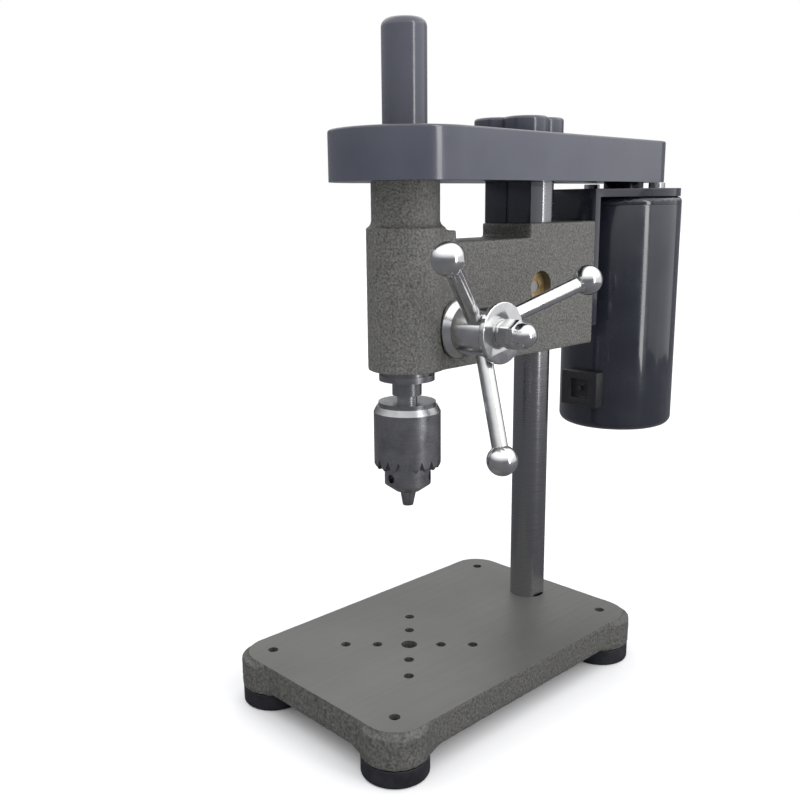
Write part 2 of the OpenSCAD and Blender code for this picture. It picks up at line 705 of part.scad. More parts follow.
module pinion_shaft() color("silver") on_feed_axis() {
    // a tooth gap faces the rack when the quill is up
    translate([0, 0, -pinion_half_l]) linear_extrude(2 * pinion_half_l)
        rotate(-90 + 180 / pinion_teeth)
            gear_outline(pinion_teeth, pitch_r, pinion_tip_r, pinion_root_r);
    translate([0, 0, -side_x - 6.7]) cylinder(r = small_journal_r, h = side_x + 6.7 - pinion_half_l + 0.5);
    translate([0, 0, pinion_half_l - 0.1]) cylinder(r = journal_r, h = hub_x - pinion_half_l + 0.1);
    translate([0, 0, hub_x - 1]) cylinder(r = stub_r, h = disc_end_x - hub_x + 1 - 0.3);
    translate([0, 0, hub_end_x]) cylinder(r = thread_r, h = hub_disc_t + washer_t + 6.6);
}

module feed_hub() color("silver") difference() {
    on_feed_axis() rotate_extrude() polygon([
        [stub_r + seat, hub_x], [hub_flange_r - 0.4, hub_x], [hub_flange_r, hub_x + 0.4],
        [hub_flange_r, hub_x + hub_flange_t], [hub_r, hub_x + 3.2],
        [hub_r, hub_end_x], [stub_r + seat, hub_end_x]]);
    for (a = handle_angles) along_arm(a) translate([0, 0, -0.1]) cylinder(r = arm_r + seat, h = 12);
}

// Local Z runs along an arm, from its root in the hub to its ball.
module along_arm(a) translate([0, feed_y, feed_z]) rotate([a - 90, 0, 0])
    translate([arm_root_x - (hub_r - arm_root_r) * tan(arm_angle), 0, arm_root_r])
        rotate([0, arm_angle, 0]) children();
arm_l = norm([ball_x - arm_root_x + (hub_r - arm_root_r) * tan(arm_angle), handle_reach - arm_root_r]);
ball_flat = sqrt(ball_r * ball_r - arm_r * arm_r) - 0.1;

module feed_arm(a) color("silver") along_arm(a) {
    cylinder(r = arm_r, h = arm_l - ball_flat);
    cylinder(r = arm_stud_r, h = arm_l - 1);
}
module feed_ball(a) color("silver") along_arm(a) translate([0, 0, arm_l]) difference() {
    sphere(r = ball_r);
    translate([0, 0, -ball_flat - 3]) cylinder(r = arm_r + seat, h = 3);
    translate([0, 0, -ball_r - 1]) cylinder(r = arm_stud_r + seat, h = ball_r + 0.3);
}
module feed_arm_1() feed_arm(handle_angles[0]);
module feed_arm_2() feed_arm(handle_angles[1]);
module feed_arm_3() feed_arm(handle_angles[2]);
module feed_ball_1() feed_ball(handle_angles[0]);
module feed_ball_2() feed_ball(handle_angles[1]);
module feed_ball_3() feed_ball(handle_angles[2]);

module hub_end_disc() color("silver") on_feed_axis() difference() {
    translate([0, 0, hub_end_x]) rotate_extrude()
        polygon(disc_profile(hub_disc_r, 0, hub_disc_t, 0.3, 0.5));
    translate([0, 0, hub_end_x - through]) cylinder(r = stub_r + seat, h = hub_disc_t + 2 * through);
}

module hub_washer() color("silver") on_feed_axis()
    ring(washer_r, thread_r + 0.1, disc_end_x, washer_t);

module acorn_nut() color("silver") on_feed_axis() difference() {
    union() {
        translate([0, 0, acorn_x]) cylinder(d = acorn_af / cos(30), h = acorn_hex_h, $fn = 6);
        translate([0, 0, acorn_x + acorn_hex_h - 0.3]) cylinder(r = acorn_dome_r, h = 2.1);
        translate([0, 0, acorn_x + acorn_hex_h + 1.8]) sphere(r = acorn_dome_r);
    }
    translate([0, 0, acorn_x - through]) cylinder(r = thread_r + seat, h = 7 + through);
}

module pinion_circlip() color("dimgray") on_feed_axis()
    ring(small_journal_r + 1.6, small_journal_r + seat, -side_x + cup_seat - 0.9, 0.8);

module spring_cup() color([0.13, 0.14, 0.19]) on_feed_axis() difference() {
    translate([0, 0, -side_x + cup_seat - cup_l]) cylinder(r = cup_r, h = cup_l);
    translate([0, 0, -side_x + cup_seat - cup_l + cup_wall]) cylinder(r = cup_r - cup_wall, h = cup_l);
}

// Flat spiral spring between the shaft and the cup's wall.
spring_steps = 20 * spring_turns;
function spring_r(i) = let (r0 = small_journal_r + 0.5, r1 = cup_r - cup_wall - spring_t - 0.1)
    r0 + (r1 - r0) * i / spring_steps;
module return_spring() color("steelblue") on_feed_axis()
    translate([0, 0, -side_x + cup_seat - cup_l + cup_wall + 0.5]) linear_extrude(spring_w)
        polygon(concat(
            [for (i = [0 : spring_steps]) spring_r(i) * [cos(i * 18), sin(i * 18)]],
            [for (i = [spring_steps : -1 : 0]) (spring_r(i) + spring_t) * [cos(i * 18), sin(i * 18)]]));

// ---- Quill and spindle ------------------------------------------------------

module quill() color("silver") difference() {
    at_spindle(quill_z) cylinder(r = quill_r, h = quill_top_z - quill_z);
    at_spindle(quill_z - through) cylinder(r = spindle_r + 1.2, h = quill_top_z - quill_z + 2 * through);
    at_spindle(quill_z - through) cylinder(r = quill_bearing_r + seat, h = bearing_pocket + through);
    at_spindle(quill_top_z - quill_top_pocket) cylinder(r = quill_bearing_r + seat, h = quill_top_pocket + through);
    rack_cut();
    guide_slot();
}

// Tooth spaces and tip flat of the rack, on the quill's rear.
module rack_cut() translate([0, spindle_y, feed_z]) {
    half = tooth_pitch / 4 + flank_play;
    slope = tan(pressure_angle);
    first = -ceil(rack_reach / tooth_pitch) - 0.5;
    last = ceil((quill_travel + rack_reach - 0.4) / tooth_pitch) - 0.5;
    root = rack_pitch_offset - 1.25 * gear_module;
    outer = quill_r + 1;
    translate([-quill_r, 0, 0]) rotate([90, 0, 90]) linear_extrude(2 * quill_r) {
        for (k = [first : last]) translate([0, k * tooth_pitch]) polygon([
            [root, -half + slope * (rack_pitch_offset - root)],
            [outer, -half - slope * (outer - rack_pitch_offset)],
            [outer, half + slope * (outer - rack_pitch_offset)],
            [root, half - slope * (rack_pitch_offset - root)]]);
        translate([rack_pitch_offset + rack_addendum, first * tooth_pitch])
            square([outer, (last - first) * tooth_pitch]);
    }
}

module guide_slot() at_spindle(0) rotate([0, 0, guide_angle])
    translate([quill_r - guide_slot_depth, -guide_dog_r - running, guide_z - guide_dog_r - 0.2])
        cube([guide_slot_depth + 1, 2 * (guide_dog_r + running), quill_travel + 2 * guide_dog_r + 0.4]);

module quill_nut() color("silver") at_spindle(0)
    ring(quill_nut_r, 4.3, quill_z - quill_nut_t, quill_nut_t);

module quill_bearings() color("gray") at_spindle(0)
    for (z = [quill_z + 0.1, quill_top_z - quill_top_pocket])
        ring(quill_bearing_r, spindle_r + running, z, bearing_t);

module spindle() color("silver") difference() {
    at_spindle(0) {
        translate([0, 0, quill_z - quill_nut_t]) cylinder(r = spindle_r, h = spindle_top_z - quill_z + quill_nut_t);
        translate([0, 0, spindle_collar_z]) cylinder(r = 3.9, h = quill_z + 0.1 - spindle_collar_z);
        translate([0, 0, spindle_collar_z])
            cylinder(r = spindle_collar_r, h = quill_z - quill_nut_t - 0.2 - spindle_collar_z);
        translate([0, 0, chuck_top_z]) cylinder(r = taper_top_r + 0.05, h = spindle_neck_h + 1);
        translate([0, 0, chuck_top_z - taper_l])
            cylinder(r1 = taper_small_r, r2 = taper_top_r, h = taper_l + 0.1);
    }
    for (s = [-1, 1]) translate([s * (spindle_flat + 5), spindle_y, (quill_top_z + 0.5 + spindle_top_z) / 2 + 5])
        cube([10, 20, spindle_top_z - quill_top_z - 0.5 + 10], center = true);
}

module spindle_circlip() color("dimgray") at_spindle(0)
    ring(spindle_r + 1.3, spindle_r + seat, quill_top_z - quill_top_pocket + bearing_t + 0.05, 0.5);

// ---- Chuck ------------------------------------------------------------------

module jaw_axes(k) at_spindle(jaw_tip_z) rotate([0, 0, k * 120 - 90])
    rotate([0, jaw_angle, 0]) children();

module chuck_body() color("silver") difference() {
    at_spindle(0) union() {
        translate([0, 0, nose_tip_z]) cylinder(r1 = nose_tip_r, r2 = nose_r, h = nose_z - nose_tip_z);
        translate([0, 0, nose_z]) cylinder(r = nose_r, h = groove_z - nose_z);
        translate([0, 0, groove_z - 0.1]) cylinder(r = 4.6, h = nut_groove_h + 0.2);
        translate([0, 0, groove_z + nut_groove_h])
            cylinder(r = sleeve_inner_r - 0.1, h = chuck_top_z - 0.01 - groove_z - nut_groove_h);
    }
    at_spindle(chuck_top_z - taper_l - 0.3)
        cylinder(r1 = taper_small_r + seat, r2 = taper_top_r + 2 * seat, h = taper_l + 0.4);
    for (k = [0 : 2]) jaw_axes(k) translate([0, 0, -2])
        cylinder(r = jaw_r + sliding, h = jaw_l / cos(jaw_angle) + jaw_travel + 3);
    at_spindle(nose_tip_z - 1) cylinder(r = chuck_capacity / 2 + 0.1, h = 12);
    for (k = [0 : 2]) at_spindle(nose_z + 2.6) rotate([0, 90, k * 120 + 30])
        translate([0, 0, 4.4]) cylinder(r = key_hole_r, h = nose_r);
}

module chuck_sleeve() color("silver") at_spindle(0) difference() {
    translate([0, 0, sleeve_z]) rotate_extrude() polygon([
        [nose_r + 0.1, 0], [chuck_r - 0.6, 0], [chuck_r, 1.2], [chuck_r, sleeve_h - 1.9],
        [sleeve_inner_r + 0.45, sleeve_h], [sleeve_inner_r, sleeve_h], [sleeve_inner_r, sleeve_lip_h],
        [nose_r + 0.1, sleeve_lip_h]]);
    for (k = [0 : key_teeth - 1]) rotate(k * 360 / key_teeth)
        translate([nose_r + 0.9, 0, sleeve_z]) rotate([90, 0, 90]) linear_extrude(chuck_r)
            polygon([[-1.45, -0.1], [1.45, -0.1], [0, key_tooth_h]]);
}

module chuck_nut() color("silver") at_spindle(groove_z + 0.15) difference() {
    cylinder(r = sleeve_inner_r - seat, h = chuck_nut_t);
    translate([0, 0, -0.01]) cylinder(
        r1 = jaw_back(groove_z + 0.15) + 0.2, r2 = jaw_back(groove_z + 0.15 + chuck_nut_t) + 0.2,
        h = chuck_nut_t + 0.02);
}
// Distance of the jaws' backs from the spindle axis at height z.
function jaw_back(z) = (z - jaw_tip_z) * tan(jaw_angle) + jaw_r / cos(jaw_angle);

module jaw(k) color("silver") intersection() {
    jaw_axes(k) translate([0, 0, -1]) cylinder(r = jaw_r, h = jaw_l / cos(jaw_angle) + 1);
    at_spindle(jaw_tip_z) rotate([0, 0, k * 120 - 90]) linear_extrude(jaw_l + 2)
        polygon([[0.06, 0], [12, 12 * tan(60) - 0.1], [12, -12 * tan(60) + 0.1]]);
}
module jaw_1() jaw(0);
module jaw_2() jaw(1);
module jaw_3() jaw(2);

base_casting();
rubber_feet();
column();
column_nut();
head_casting();
lock_shoe_right();
lock_shoe_left();
quill_guide_screw();
spring_cup();
return_spring();
cover_post();
guard_plate();
guard_plate_screws();
motor_bracket();
bracket_screws();
motor_can();
motor_end_bell();
motor_screws();
motor_bearings();
motor_magnets();
brush_holder();
brushes();
power_inlet();
pulley_bearings();
drive_belt();
lock_stud();
lock_knob();
pinion_shaft();
feed_hub();
hub_end_disc();
feed_arm_1();
feed_arm_2();
feed_arm_3();
feed_ball_1();
feed_ball_2();
feed_ball_3();
hub_washer();
acorn_nut();
pinion_circlip();
quill();
quill_nut();
quill_bearings();
spindle();
spindle_circlip();
chuck_body();
spindle_pulley();
motor_shaft();
armature();
commutator();
motor_pulley();
chuck_sleeve();
chuck_nut();
jaw_1();
jaw_2();
jaw_3();
belt_cover();
cover_knob();
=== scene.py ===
from math import cos, hypot, radians, sin

import bpy
import bmesh
from mathutils import Matrix, Vector


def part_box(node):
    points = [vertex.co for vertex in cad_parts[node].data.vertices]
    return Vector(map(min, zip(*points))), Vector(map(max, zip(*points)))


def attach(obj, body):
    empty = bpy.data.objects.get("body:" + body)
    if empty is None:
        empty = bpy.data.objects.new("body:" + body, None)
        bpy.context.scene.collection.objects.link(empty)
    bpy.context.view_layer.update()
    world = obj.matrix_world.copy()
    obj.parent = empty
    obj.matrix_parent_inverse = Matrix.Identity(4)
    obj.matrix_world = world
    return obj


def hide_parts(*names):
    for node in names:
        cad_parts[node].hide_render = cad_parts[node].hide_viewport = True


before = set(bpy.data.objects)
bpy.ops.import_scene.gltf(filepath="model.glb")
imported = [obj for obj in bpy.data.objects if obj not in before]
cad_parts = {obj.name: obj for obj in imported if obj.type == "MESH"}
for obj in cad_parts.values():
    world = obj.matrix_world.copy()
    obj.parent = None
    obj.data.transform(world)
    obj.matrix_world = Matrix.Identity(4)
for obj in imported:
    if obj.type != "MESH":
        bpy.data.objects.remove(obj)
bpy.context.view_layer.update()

scene = bpy.context.scene
mm = 0.001

# ---- Camera -----------------------------------------------------------------
# The press is seen from its right front corner, from a little above the belt
# cover, close enough for strong perspective.
eye = Vector((206.95, -219.72, 163.29)) * mm
yaw, pitch, roll = radians(46.87), radians(12.857), radians(-0.783)
forward = Vector((-sin(yaw) * cos(pitch), cos(yaw) * cos(pitch), -sin(pitch)))
level_right = forward.cross(Vector((0, 0, 1))).normalized()
level_up = level_right.cross(forward)
right = level_right * cos(roll) + level_up * sin(roll)
up = level_up * cos(roll) - level_right * sin(roll)
camera = bpy.data.objects.new("camera", bpy.data.cameras.new("camera"))
scene.collection.objects.link(camera)
camera.matrix_world = Matrix((
    (right.x, up.x, -forward.x, eye.x),
    (right.y, up.y, -forward.y, eye.y),
    (right.z, up.z, -forward.z, eye.z),
    (0, 0, 0, 1),
))
camera.data.sensor_width = 36
camera.data.lens = 41.82
camera.data.shift_x = 0.0171
camera.data.shift_y = 0.0177
camera.data.clip_start = 0.01
scene.camera = camera

# ---- Studio -----------------------------------------------------------------
# A pale floor under a bright ceiling, with a dim horizon that gives the metal
# its dark bands, a broad panel behind the handle side and a narrow bright strip.
scene.view_settings.view_transform = "Standard"
scene.world = bpy.data.worlds.new("studio")
scene.world.use_nodes = True
world_nodes, world_link = scene.world.node_tree.nodes, scene.world.node_tree.links.new
direction = world_nodes.new("ShaderNodeTexCoord")
height = world_nodes.new("ShaderNodeSeparateXYZ")
world_link(direction.outputs["Generated"], height.inputs["Vector"])
fade = world_nodes.new("ShaderNodeValToRGB")
fade.color_ramp.elements[0].position = 0.12
fade.color_ramp.elements[0].color = (0.12, 0.125, 0.14, 1)
fade.color_ramp.elements[1].position = 0.62
fade.color_ramp.elements[1].color = (1.0, 1.0, 1.0, 1)
world_link(height.outputs["Z"], fade.inputs["Fac"])
seen = world_nodes["Background"]
seen.inputs["Color"].default_value = (1, 1, 1, 1)
lighting = world_nodes.new("ShaderNodeBackground")
lighting.inputs["Strength"].default_value = 1.5
world_link(fade.outputs["Color"], lighting.inputs["Color"])
ray = world_nodes.new("ShaderNodeLightPath")
either = world_nodes.new("ShaderNodeMixShader")
world_link(ray.outputs["Is Camera Ray"], either.inputs["Fac"])
world_link(lighting.outputs["Background"], either.inputs[1])
world_link(seen.outputs["Background"], either.inputs[2])
world_link(either.outputs["Shader"], world_nodes["World Output"].inputs["Surface"])


def panel(name, place, target, width, height, power):
    lamp = bpy.data.lights.new(name, "AREA")
    lamp.shape = "RECTANGLE"
    lamp.size, lamp.size_y = width, height
    lamp.energy = power
    lamp_object = bpy.data.objects.new(name, lamp)
    scene.collection.objects.link(lamp_object)
    lamp_object.location = place
    aim = Vector(target) - Vector(place)
    lamp_object.rotation_euler = aim.to_track_quat("-Z", "Y").to_euler()


panel("handle_side_panel", (0.40, 0.37, 0.29), (0, 0, 0.2), 0.7, 0.55, 0.85)
panel("edge_strip", (0.50, 0.035, 0.29), (0, 0, 0.2), 0.07, 0.55, 0.75)

bpy.ops.object.select_all(action="DESELECT")
bpy.ops.mesh.primitive_plane_add(size=8, location=(0, 0, 0))
floor = bpy.context.active_object
floor.name = "floor"
floor_paint = bpy.data.materials.new("floor_paint")
floor_paint.use_nodes = True
floor_nodes, floor_link = floor_paint.node_tree.nodes, floor_paint.node_tree.links.new
floor_shader = floor_nodes["Principled BSDF"]
floor_shader.inputs["Roughness"].default_value = 0.9
floor_shader.inputs["Specular IOR Level"].default_value = 0.1
seen_or_mirrored = floor_nodes.new("ShaderNodeMix")
seen_or_mirrored.data_type = "RGBA"
seen_or_mirrored.inputs["A"].default_value = (0.93, 0.93, 0.94, 1)
seen_or_mirrored.inputs["B"].default_value = (0.12, 0.12, 0.13, 1)
floor_link(floor_nodes.new("ShaderNodeLightPath").outputs["Is Glossy Ray"], seen_or_mirrored.inputs["Factor"])
floor_link(seen_or_mirrored.outputs["Result"], floor_shader.inputs["Base Color"])
floor.data.materials.append(floor_paint)

# ---- Base casting -----------------------------------------------------------
# Cast iron plate with a boss at each corner, in sand-textured grey enamel, its
# table face ground flat through the paint; drilled for bolts and fixtures.


def select_only(piece):
    if bpy.context.mode != "OBJECT":
        bpy.ops.object.mode_set(mode="OBJECT")
    bpy.ops.object.select_all(action="DESELECT")
    piece.select_set(True)
    bpy.context.view_layer.objects.active = piece


def settle(name):
    """Names the primitive just added, with its place put into its mesh."""
    piece = bpy.context.active_object
    piece.name = name
    piece.data.name = name
    select_only(piece)
    bpy.ops.object.transform_apply(location=True, rotation=True, scale=True)
    return piece


def rod(name, radius, start, end, sides=96, tip_radius=None):
    """A round bar between two points, or a cone where its tip differs."""
    start, end = Vector(start) * mm, Vector(end) * mm
    bpy.ops.object.select_all(action="DESELECT")
    turn = (end - start).to_track_quat("Z", "Y").to_euler()
    middle, length = (start + end) / 2, (end - start).length
    tip = radius if tip_radius is None else tip_radius
    bpy.ops.mesh.primitive_cone_add(vertices=sides, radius1=radius * mm, radius2=tip * mm,
                                    depth=length, location=middle, rotation=turn)
    return settle(name)


def block(name, low, high):
    low, high = Vector(low) * mm, Vector(high) * mm
    bpy.ops.object.select_all(action="DESELECT")
    bpy.ops.mesh.primitive_cube_add(size=1, location=(low + high) / 2, scale=high - low)
    return settle(name)


def apply_modifiers(piece):
    select_only(piece)
    for name in [m.name for m in piece.modifiers]:
        bpy.ops.object.modifier_apply(modifier=name)


def combine(piece, others, operation):
    """Joins the other shapes to the piece, or cuts them out of it."""
    for other in others:
        step = piece.modifiers.new("combine", "BOOLEAN")
        step.operation = operation
        step.solver = "EXACT"
        step.object = other
        apply_modifiers(piece)
        bpy.data.objects.remove(other)
    return piece


def join(shapes, name):
    select_only(shapes[0])
    for shape in shapes:
        shape.select_set(True)
    bpy.ops.object.join()
    shapes[0].name = name
    return shapes[0]


def round_edges(piece, chosen, radius, segments=4):
    """Bevels the edges whose two ends the test accepts, given in millimetres."""
    select_only(piece)
    bpy.ops.object.mode_set(mode="EDIT")
    bpy.ops.mesh.select_mode(type="EDGE")
    bpy.ops.mesh.select_all(action="DESELECT")
    shape = bmesh.from_edit_mesh(piece.data)
    for edge in shape.edges:
        edge.select = chosen(edge.verts[0].co / mm, edge.verts[1].co / mm)
    bmesh.update_edit_mesh(piece.data)
    bpy.ops.mesh.bevel(offset=radius * mm, segments=segments, profile=0.5)
    bpy.ops.object.mode_set(mode="OBJECT")


def smooth(piece, angle):
    select_only(piece)
    bpy.ops.object.shade_smooth_by_angle(angle=radians(angle))


def cast_surface(piece, voxel, passes, roughness):
    """Gives a sharp shape the round edges and uneven skin of a sand casting."""
    remesh = piece.modifiers.new("remesh", "REMESH")
    remesh.mode = "VOXEL"
    remesh.voxel_size = voxel * mm
    soften = piece.modifiers.new("soften", "SMOOTH")
    soften.factor = 0.5
    soften.iterations = passes
    sand = bpy.data.textures.new("sand", "CLOUDS")
    sand.noise_scale = 1.4 * mm
    sand.noise_depth = 2
    skin = piece.modifiers.new("skin", "DISPLACE")
    skin.texture = sand
    skin.texture_coords = "LOCAL"
    skin.strength = roughness * mm
    skin.mid_level = 0.5
    apply_modifiers(piece)


def material(name, colour, metallic, roughness, coat=0.0):
    made = bpy.data.materials.new(name)
    made.use_nodes = True
    shader = made.node_tree.nodes["Principled BSDF"]
    shader.inputs["Base Color"].default_value = (*colour, 1)
    shader.inputs["Metallic"].default_value = metallic
    shader.inputs["Roughness"].default_value = roughness
    shader.inputs["Coat Weight"].default_value = coat
    if coat:
        shader.inputs["Coat Roughness"].default_value = 0.04
    return made


def feed_shader(made, value, socket):
    made.node_tree.links.new(value, made.node_tree.nodes["Principled BSDF"].inputs[socket])


def noise(made, scale, stretch=(1, 1, 1), detail=3.0):
    """Noise over the piece, its grain per metre given by scale times stretch."""
    nodes, link = made.node_tree.nodes, made.node_tree.links.new
    place = nodes.new("ShaderNodeTexCoord")
    mapping = nodes.new("ShaderNodeMapping")
    mapping.vector_type = "TEXTURE"
    mapping.inputs["Scale"].default_value = [1 / s for s in stretch]
    link(place.outputs["Object"], mapping.inputs["Vector"])
    grain = nodes.new("ShaderNodeTexNoise")
    grain.inputs["Scale"].default_value = scale
    grain.inputs["Detail"].default_value = detail
    link(mapping.outputs["Vector"], grain.inputs["Vector"])
    return grain.outputs["Fac"]


def tint(made, value, low, high, dark, light):
    """Colours the surface from dark to light as the value runs from low to high."""
    step = made.node_tree.nodes.new("ShaderNodeValToRGB")
    step.color_ramp.elements[0].position = low
    step.color_ramp.elements[1].position = high
    step.color_ramp.elements[0].color = (*dark, 1)
    step.color_ramp.elements[1].color = (*light, 1)
    made.node_tree.links.new(value, step.inputs["Fac"])
    feed_shader(made, step.outputs["Color"], "Base Color")


def roughen(made, value, low, high, smoothest, roughest):
    """Makes the surface rougher as the value runs from low to high."""
    step = made.node_tree.nodes.new("ShaderNodeMapRange")
    for key, number in zip(("From Min", "From Max", "To Min", "To Max"), (low, high, smoothest, roughest)):
        step.inputs[key].default_value = number
    made.node_tree.links.new(value, step.inputs["Value"])
    feed_shader(made, step.outputs["Result"], "Roughness")


def bump(made, height, depth, strength):
    """Raises the surface by up to depth millimetres where height is one."""
    step = made.node_tree.nodes.new("ShaderNodeBump")
    step.inputs["Strength"].default_value = strength
    step.inputs["Distance"].default_value = depth * mm
    made.node_tree.links.new(height, step.inputs["Height"])
    feed_shader(made, step.outputs["Normal"], "Normal")


cast_enamel = material("cast_enamel", (0.1, 0.1, 0.095), 0.0, 0.42)
grit = noise(cast_enamel, 1150, detail=4.0)
blotch = noise(cast_enamel, 120, detail=3.0)
tint(cast_enamel, grit, 0.3, 0.72, (0.04, 0.041, 0.038), (0.125, 0.122, 0.113))
roughen(cast_enamel, blotch, 0.3, 0.7, 0.34, 0.56)
bump(cast_enamel, grit, 0.5, 0.85)

ground_face = material("ground_face", (0.13, 0.13, 0.122), 0.55, 0.42)
cloud = noise(ground_face, 16, detail=4.0)
lines = noise(ground_face, 700, stretch=(1, 0.03, 1), detail=2.0)
tint(ground_face, cloud, 0.3, 0.7, (0.115, 0.115, 0.108), (0.15, 0.149, 0.14))
roughen(ground_face, lines, 0.3, 0.7, 0.38, 0.46)
bump(ground_face, lines, 0.002, 0.4)


def corners(node):
    """Lowest and highest corner of one of the frame's pieces, in millimetres."""
    return [[round(c / mm, 2) for c in corner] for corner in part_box(node)]


def middle(node):
    return [round((low + high) / 2, 2) for low, high in zip(*corners(node))]


boss_low = corners("base_casting")[0][2]
corner_x, corner_y, table_z = corners("base_casting")[1]
spindle_y = middle("spindle")[1]
column_y = middle("column")[1]
motor_y = middle("motor_can")[1]
corner_r, skin = 10.6, 0.1
bolt_x, bolt_y = round(corner_x - corner_r, 2), round(corner_y - corner_r, 2)
boss_r = round(corner_r - skin, 2)
plate_x, plate_y, plate_low = 38.3, 60.3, 7.4
overcut = 0.7
bolt_hole_r, centre_hole_r, fixture_hole_r = 1.7, 2.7, 1.65
column_seat_r, nut_pocket_r, nut_pocket_top = 5.02, 10.4, 12.4


def plate_blank(name, low, high):
    blank = block(name, (-plate_x, -plate_y, low), (plate_x, plate_y, high))
    round_edges(blank, lambda a, b: abs(a.z - b.z) > 5, 9.8, 10)
    return blank


base = plate_blank("base_casting_visual", plate_low, table_z + overcut)
for sx in (-1, 1):
    for sy in (-1, 1):
        x, y = sx * bolt_x, sy * bolt_y
        boss = rod("boss", boss_r, (x, y, boss_low), (x, y, table_z - 1.2))
        flare = rod("flare", boss_r, (x, y, 5.9), (x, y, plate_low + 0.6), tip_radius=14.5)
        combine(flare, [plate_blank("outline", 0, 12)], "INTERSECT")
        combine(base, [boss, flare], "UNION")
cast_surface(base, 0.62, 7, 0.22)
combine(base, [block("table_cut", (-50, -70, table_z), (50, 70, 30))], "DIFFERENCE")


def drill(radius, x, y, sides, high=20):
    return rod("drill", radius, (x, y, 0), (x, y, high), sides)


drills = [drill(bolt_hole_r, sx * bolt_x, sy * bolt_y, 40) for sx in (-1, 1) for sy in (-1, 1)]
drills.append(drill(centre_hole_r, 0, spindle_y, 48))
for step in (-15.2, -7.6, 7.6, 15.2):
    for slant in (-1, 1):
        drills.append(drill(fixture_hole_r, step, spindle_y + slant * step, 40))
drills.append(drill(column_seat_r, 0, column_y, 48))
combine(base, [join(drills, "drills")], "DIFFERENCE")
combine(base, [drill(nut_pocket_r, 0, column_y, 64, nut_pocket_top)], "DIFFERENCE")
base.data.materials.append(cast_enamel)
base.data.materials.append(ground_face)
for face in base.data.polygons:
    if face.normal.z > 0.999 and abs(face.center.z / mm - table_z) < 0.02:
        face.material_index = 1
smooth(base, 40)


def stands_for(piece, node, body):
    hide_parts(node)
    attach(piece, body)


stands_for(base, "base_casting", "base")


# ---- Feet and column --------------------------------------------------------
# Moulded rubber feet under the corner bosses, and a centreless-ground steel bar
# with spanner flats, pulled down on the base by a nut under it.


def dress(made, *names):
    """Gives the frame's own pieces their finish."""
    for name in names:
        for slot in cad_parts[name].material_slots:
            slot.material = made


def turned(made, axis, centre, pitch):
    """Fine rings round an axis, as a lathe leaves them, a pitch in millimetres apart."""
    nodes, link = made.node_tree.nodes, made.node_tree.links.new
    place = nodes.new("ShaderNodeTexCoord")
    mapping = nodes.new("ShaderNodeMapping")
    mapping.vector_type = "TEXTURE"
    mapping.inputs["Location"].default_value = [c * mm for c in centre]
    link(place.outputs["Object"], mapping.inputs["Vector"])
    rings = nodes.new("ShaderNodeTexWave")
    rings.wave_type = "RINGS"
    rings.rings_direction = axis
    rings.inputs["Scale"].default_value = 0.31 / (pitch * mm)
    rings.inputs["Distortion"].default_value = 0.4
    rings.inputs["Detail"].default_value = 2.0
    link(mapping.outputs["Vector"], rings.inputs["Vector"])
    stretch = {"X": (1, 0.02, 0.02), "Y": (0.02, 1, 0.02), "Z": (0.02, 0.02, 1)}[axis]
    lines = noise(made, 0.8 / (pitch * mm), stretch=stretch, detail=3.0)
    both = nodes.new("ShaderNodeMath")
    both.operation = "MULTIPLY_ADD"
    both.inputs[1].default_value = 0.3
    link(rings.outputs["Fac"], both.inputs[0])
    link(lines, both.inputs[2])
    return both.outputs["Value"]


foot_rubber = material("foot_rubber", (0.014, 0.014, 0.022), 0.0, 0.5)
scuff = noise(foot_rubber, 260, detail=5.0)
pores = noise(foot_rubber, 2600, detail=2.0)
tint(foot_rubber, scuff, 0.35, 0.75, (0.008, 0.008, 0.012), (0.017, 0.017, 0.025))
roughen(foot_rubber, scuff, 0.3, 0.7, 0.42, 0.66)
bump(foot_rubber, pores, 0.05, 0.4)
dress(foot_rubber, "rubber_feet")

ground_steel = material("ground_steel", (0.3, 0.3, 0.31), 1.0, 0.26)
lines = turned(ground_steel, "Z", (0, column_y, 0), 0.25)
stain = noise(ground_steel, 60, stretch=(1, 1, 0.25), detail=3.0)
tint(ground_steel, stain, 0.3, 0.75, (0.3, 0.302, 0.315), (0.38, 0.38, 0.39))
roughen(ground_steel, lines, 0.3, 0.9, 0.2, 0.34)
bump(ground_steel, lines, 0.004, 0.6)
dress(ground_steel, "column", "quill", "spindle", "pinion_shaft", "motor_shaft", "lock_stud")

fastener_steel = material("fastener_steel", (0.5, 0.5, 0.5), 1.0, 0.3)
plating = noise(fastener_steel, 900, detail=4.0)
tint(fastener_steel, plating, 0.3, 0.7, (0.4, 0.4, 0.41), (0.6, 0.6, 0.6))
roughen(fastener_steel, plating, 0.3, 0.7, 0.2, 0.38)
bump(fastener_steel, plating, 0.008, 0.5)
dress(fastener_steel, "column_nut", "quill_guide_screw", "guard_plate_screws", "bracket_screws",
      "motor_screws")

# ---- Head casting -----------------------------------------------------------
# One iron casting with a barrel for the quill, a block for the column and a
# neck for the pulley, enamelled rough as cast, then bored and spotfaced.
head_z = corners("head_casting")[0][2]
_, head_rear_y, cover_z = corners("head_casting")[1]
head_top_z, notch_z, block_front_y, side_x = 155.8, 151.0, 31.2, 10.8
feed_y, feed_z = middle("hub_washer")[1:]
lock_y, lock_z = middle("lock_knob")[1:]
quill_bore_r, column_bore_r, lock_bore_r, spotface_r, screw_r = 8.05, 6.4, 5.5, 10.0, 2.02
head = block("head_casting_visual", (-side_x, spindle_y, head_z), (side_x, head_rear_y, notch_z))
column_block = block("column_block", (-side_x, block_front_y, head_z),
                     (side_x, head_rear_y + 0.8, head_top_z))
barrel = rod("barrel", 12.2, (0, spindle_y, head_z), (0, spindle_y, head_top_z))
neck = rod("neck", 10.55, (0, spindle_y, head_top_z - 4), (0, spindle_y, cover_z + 0.9))
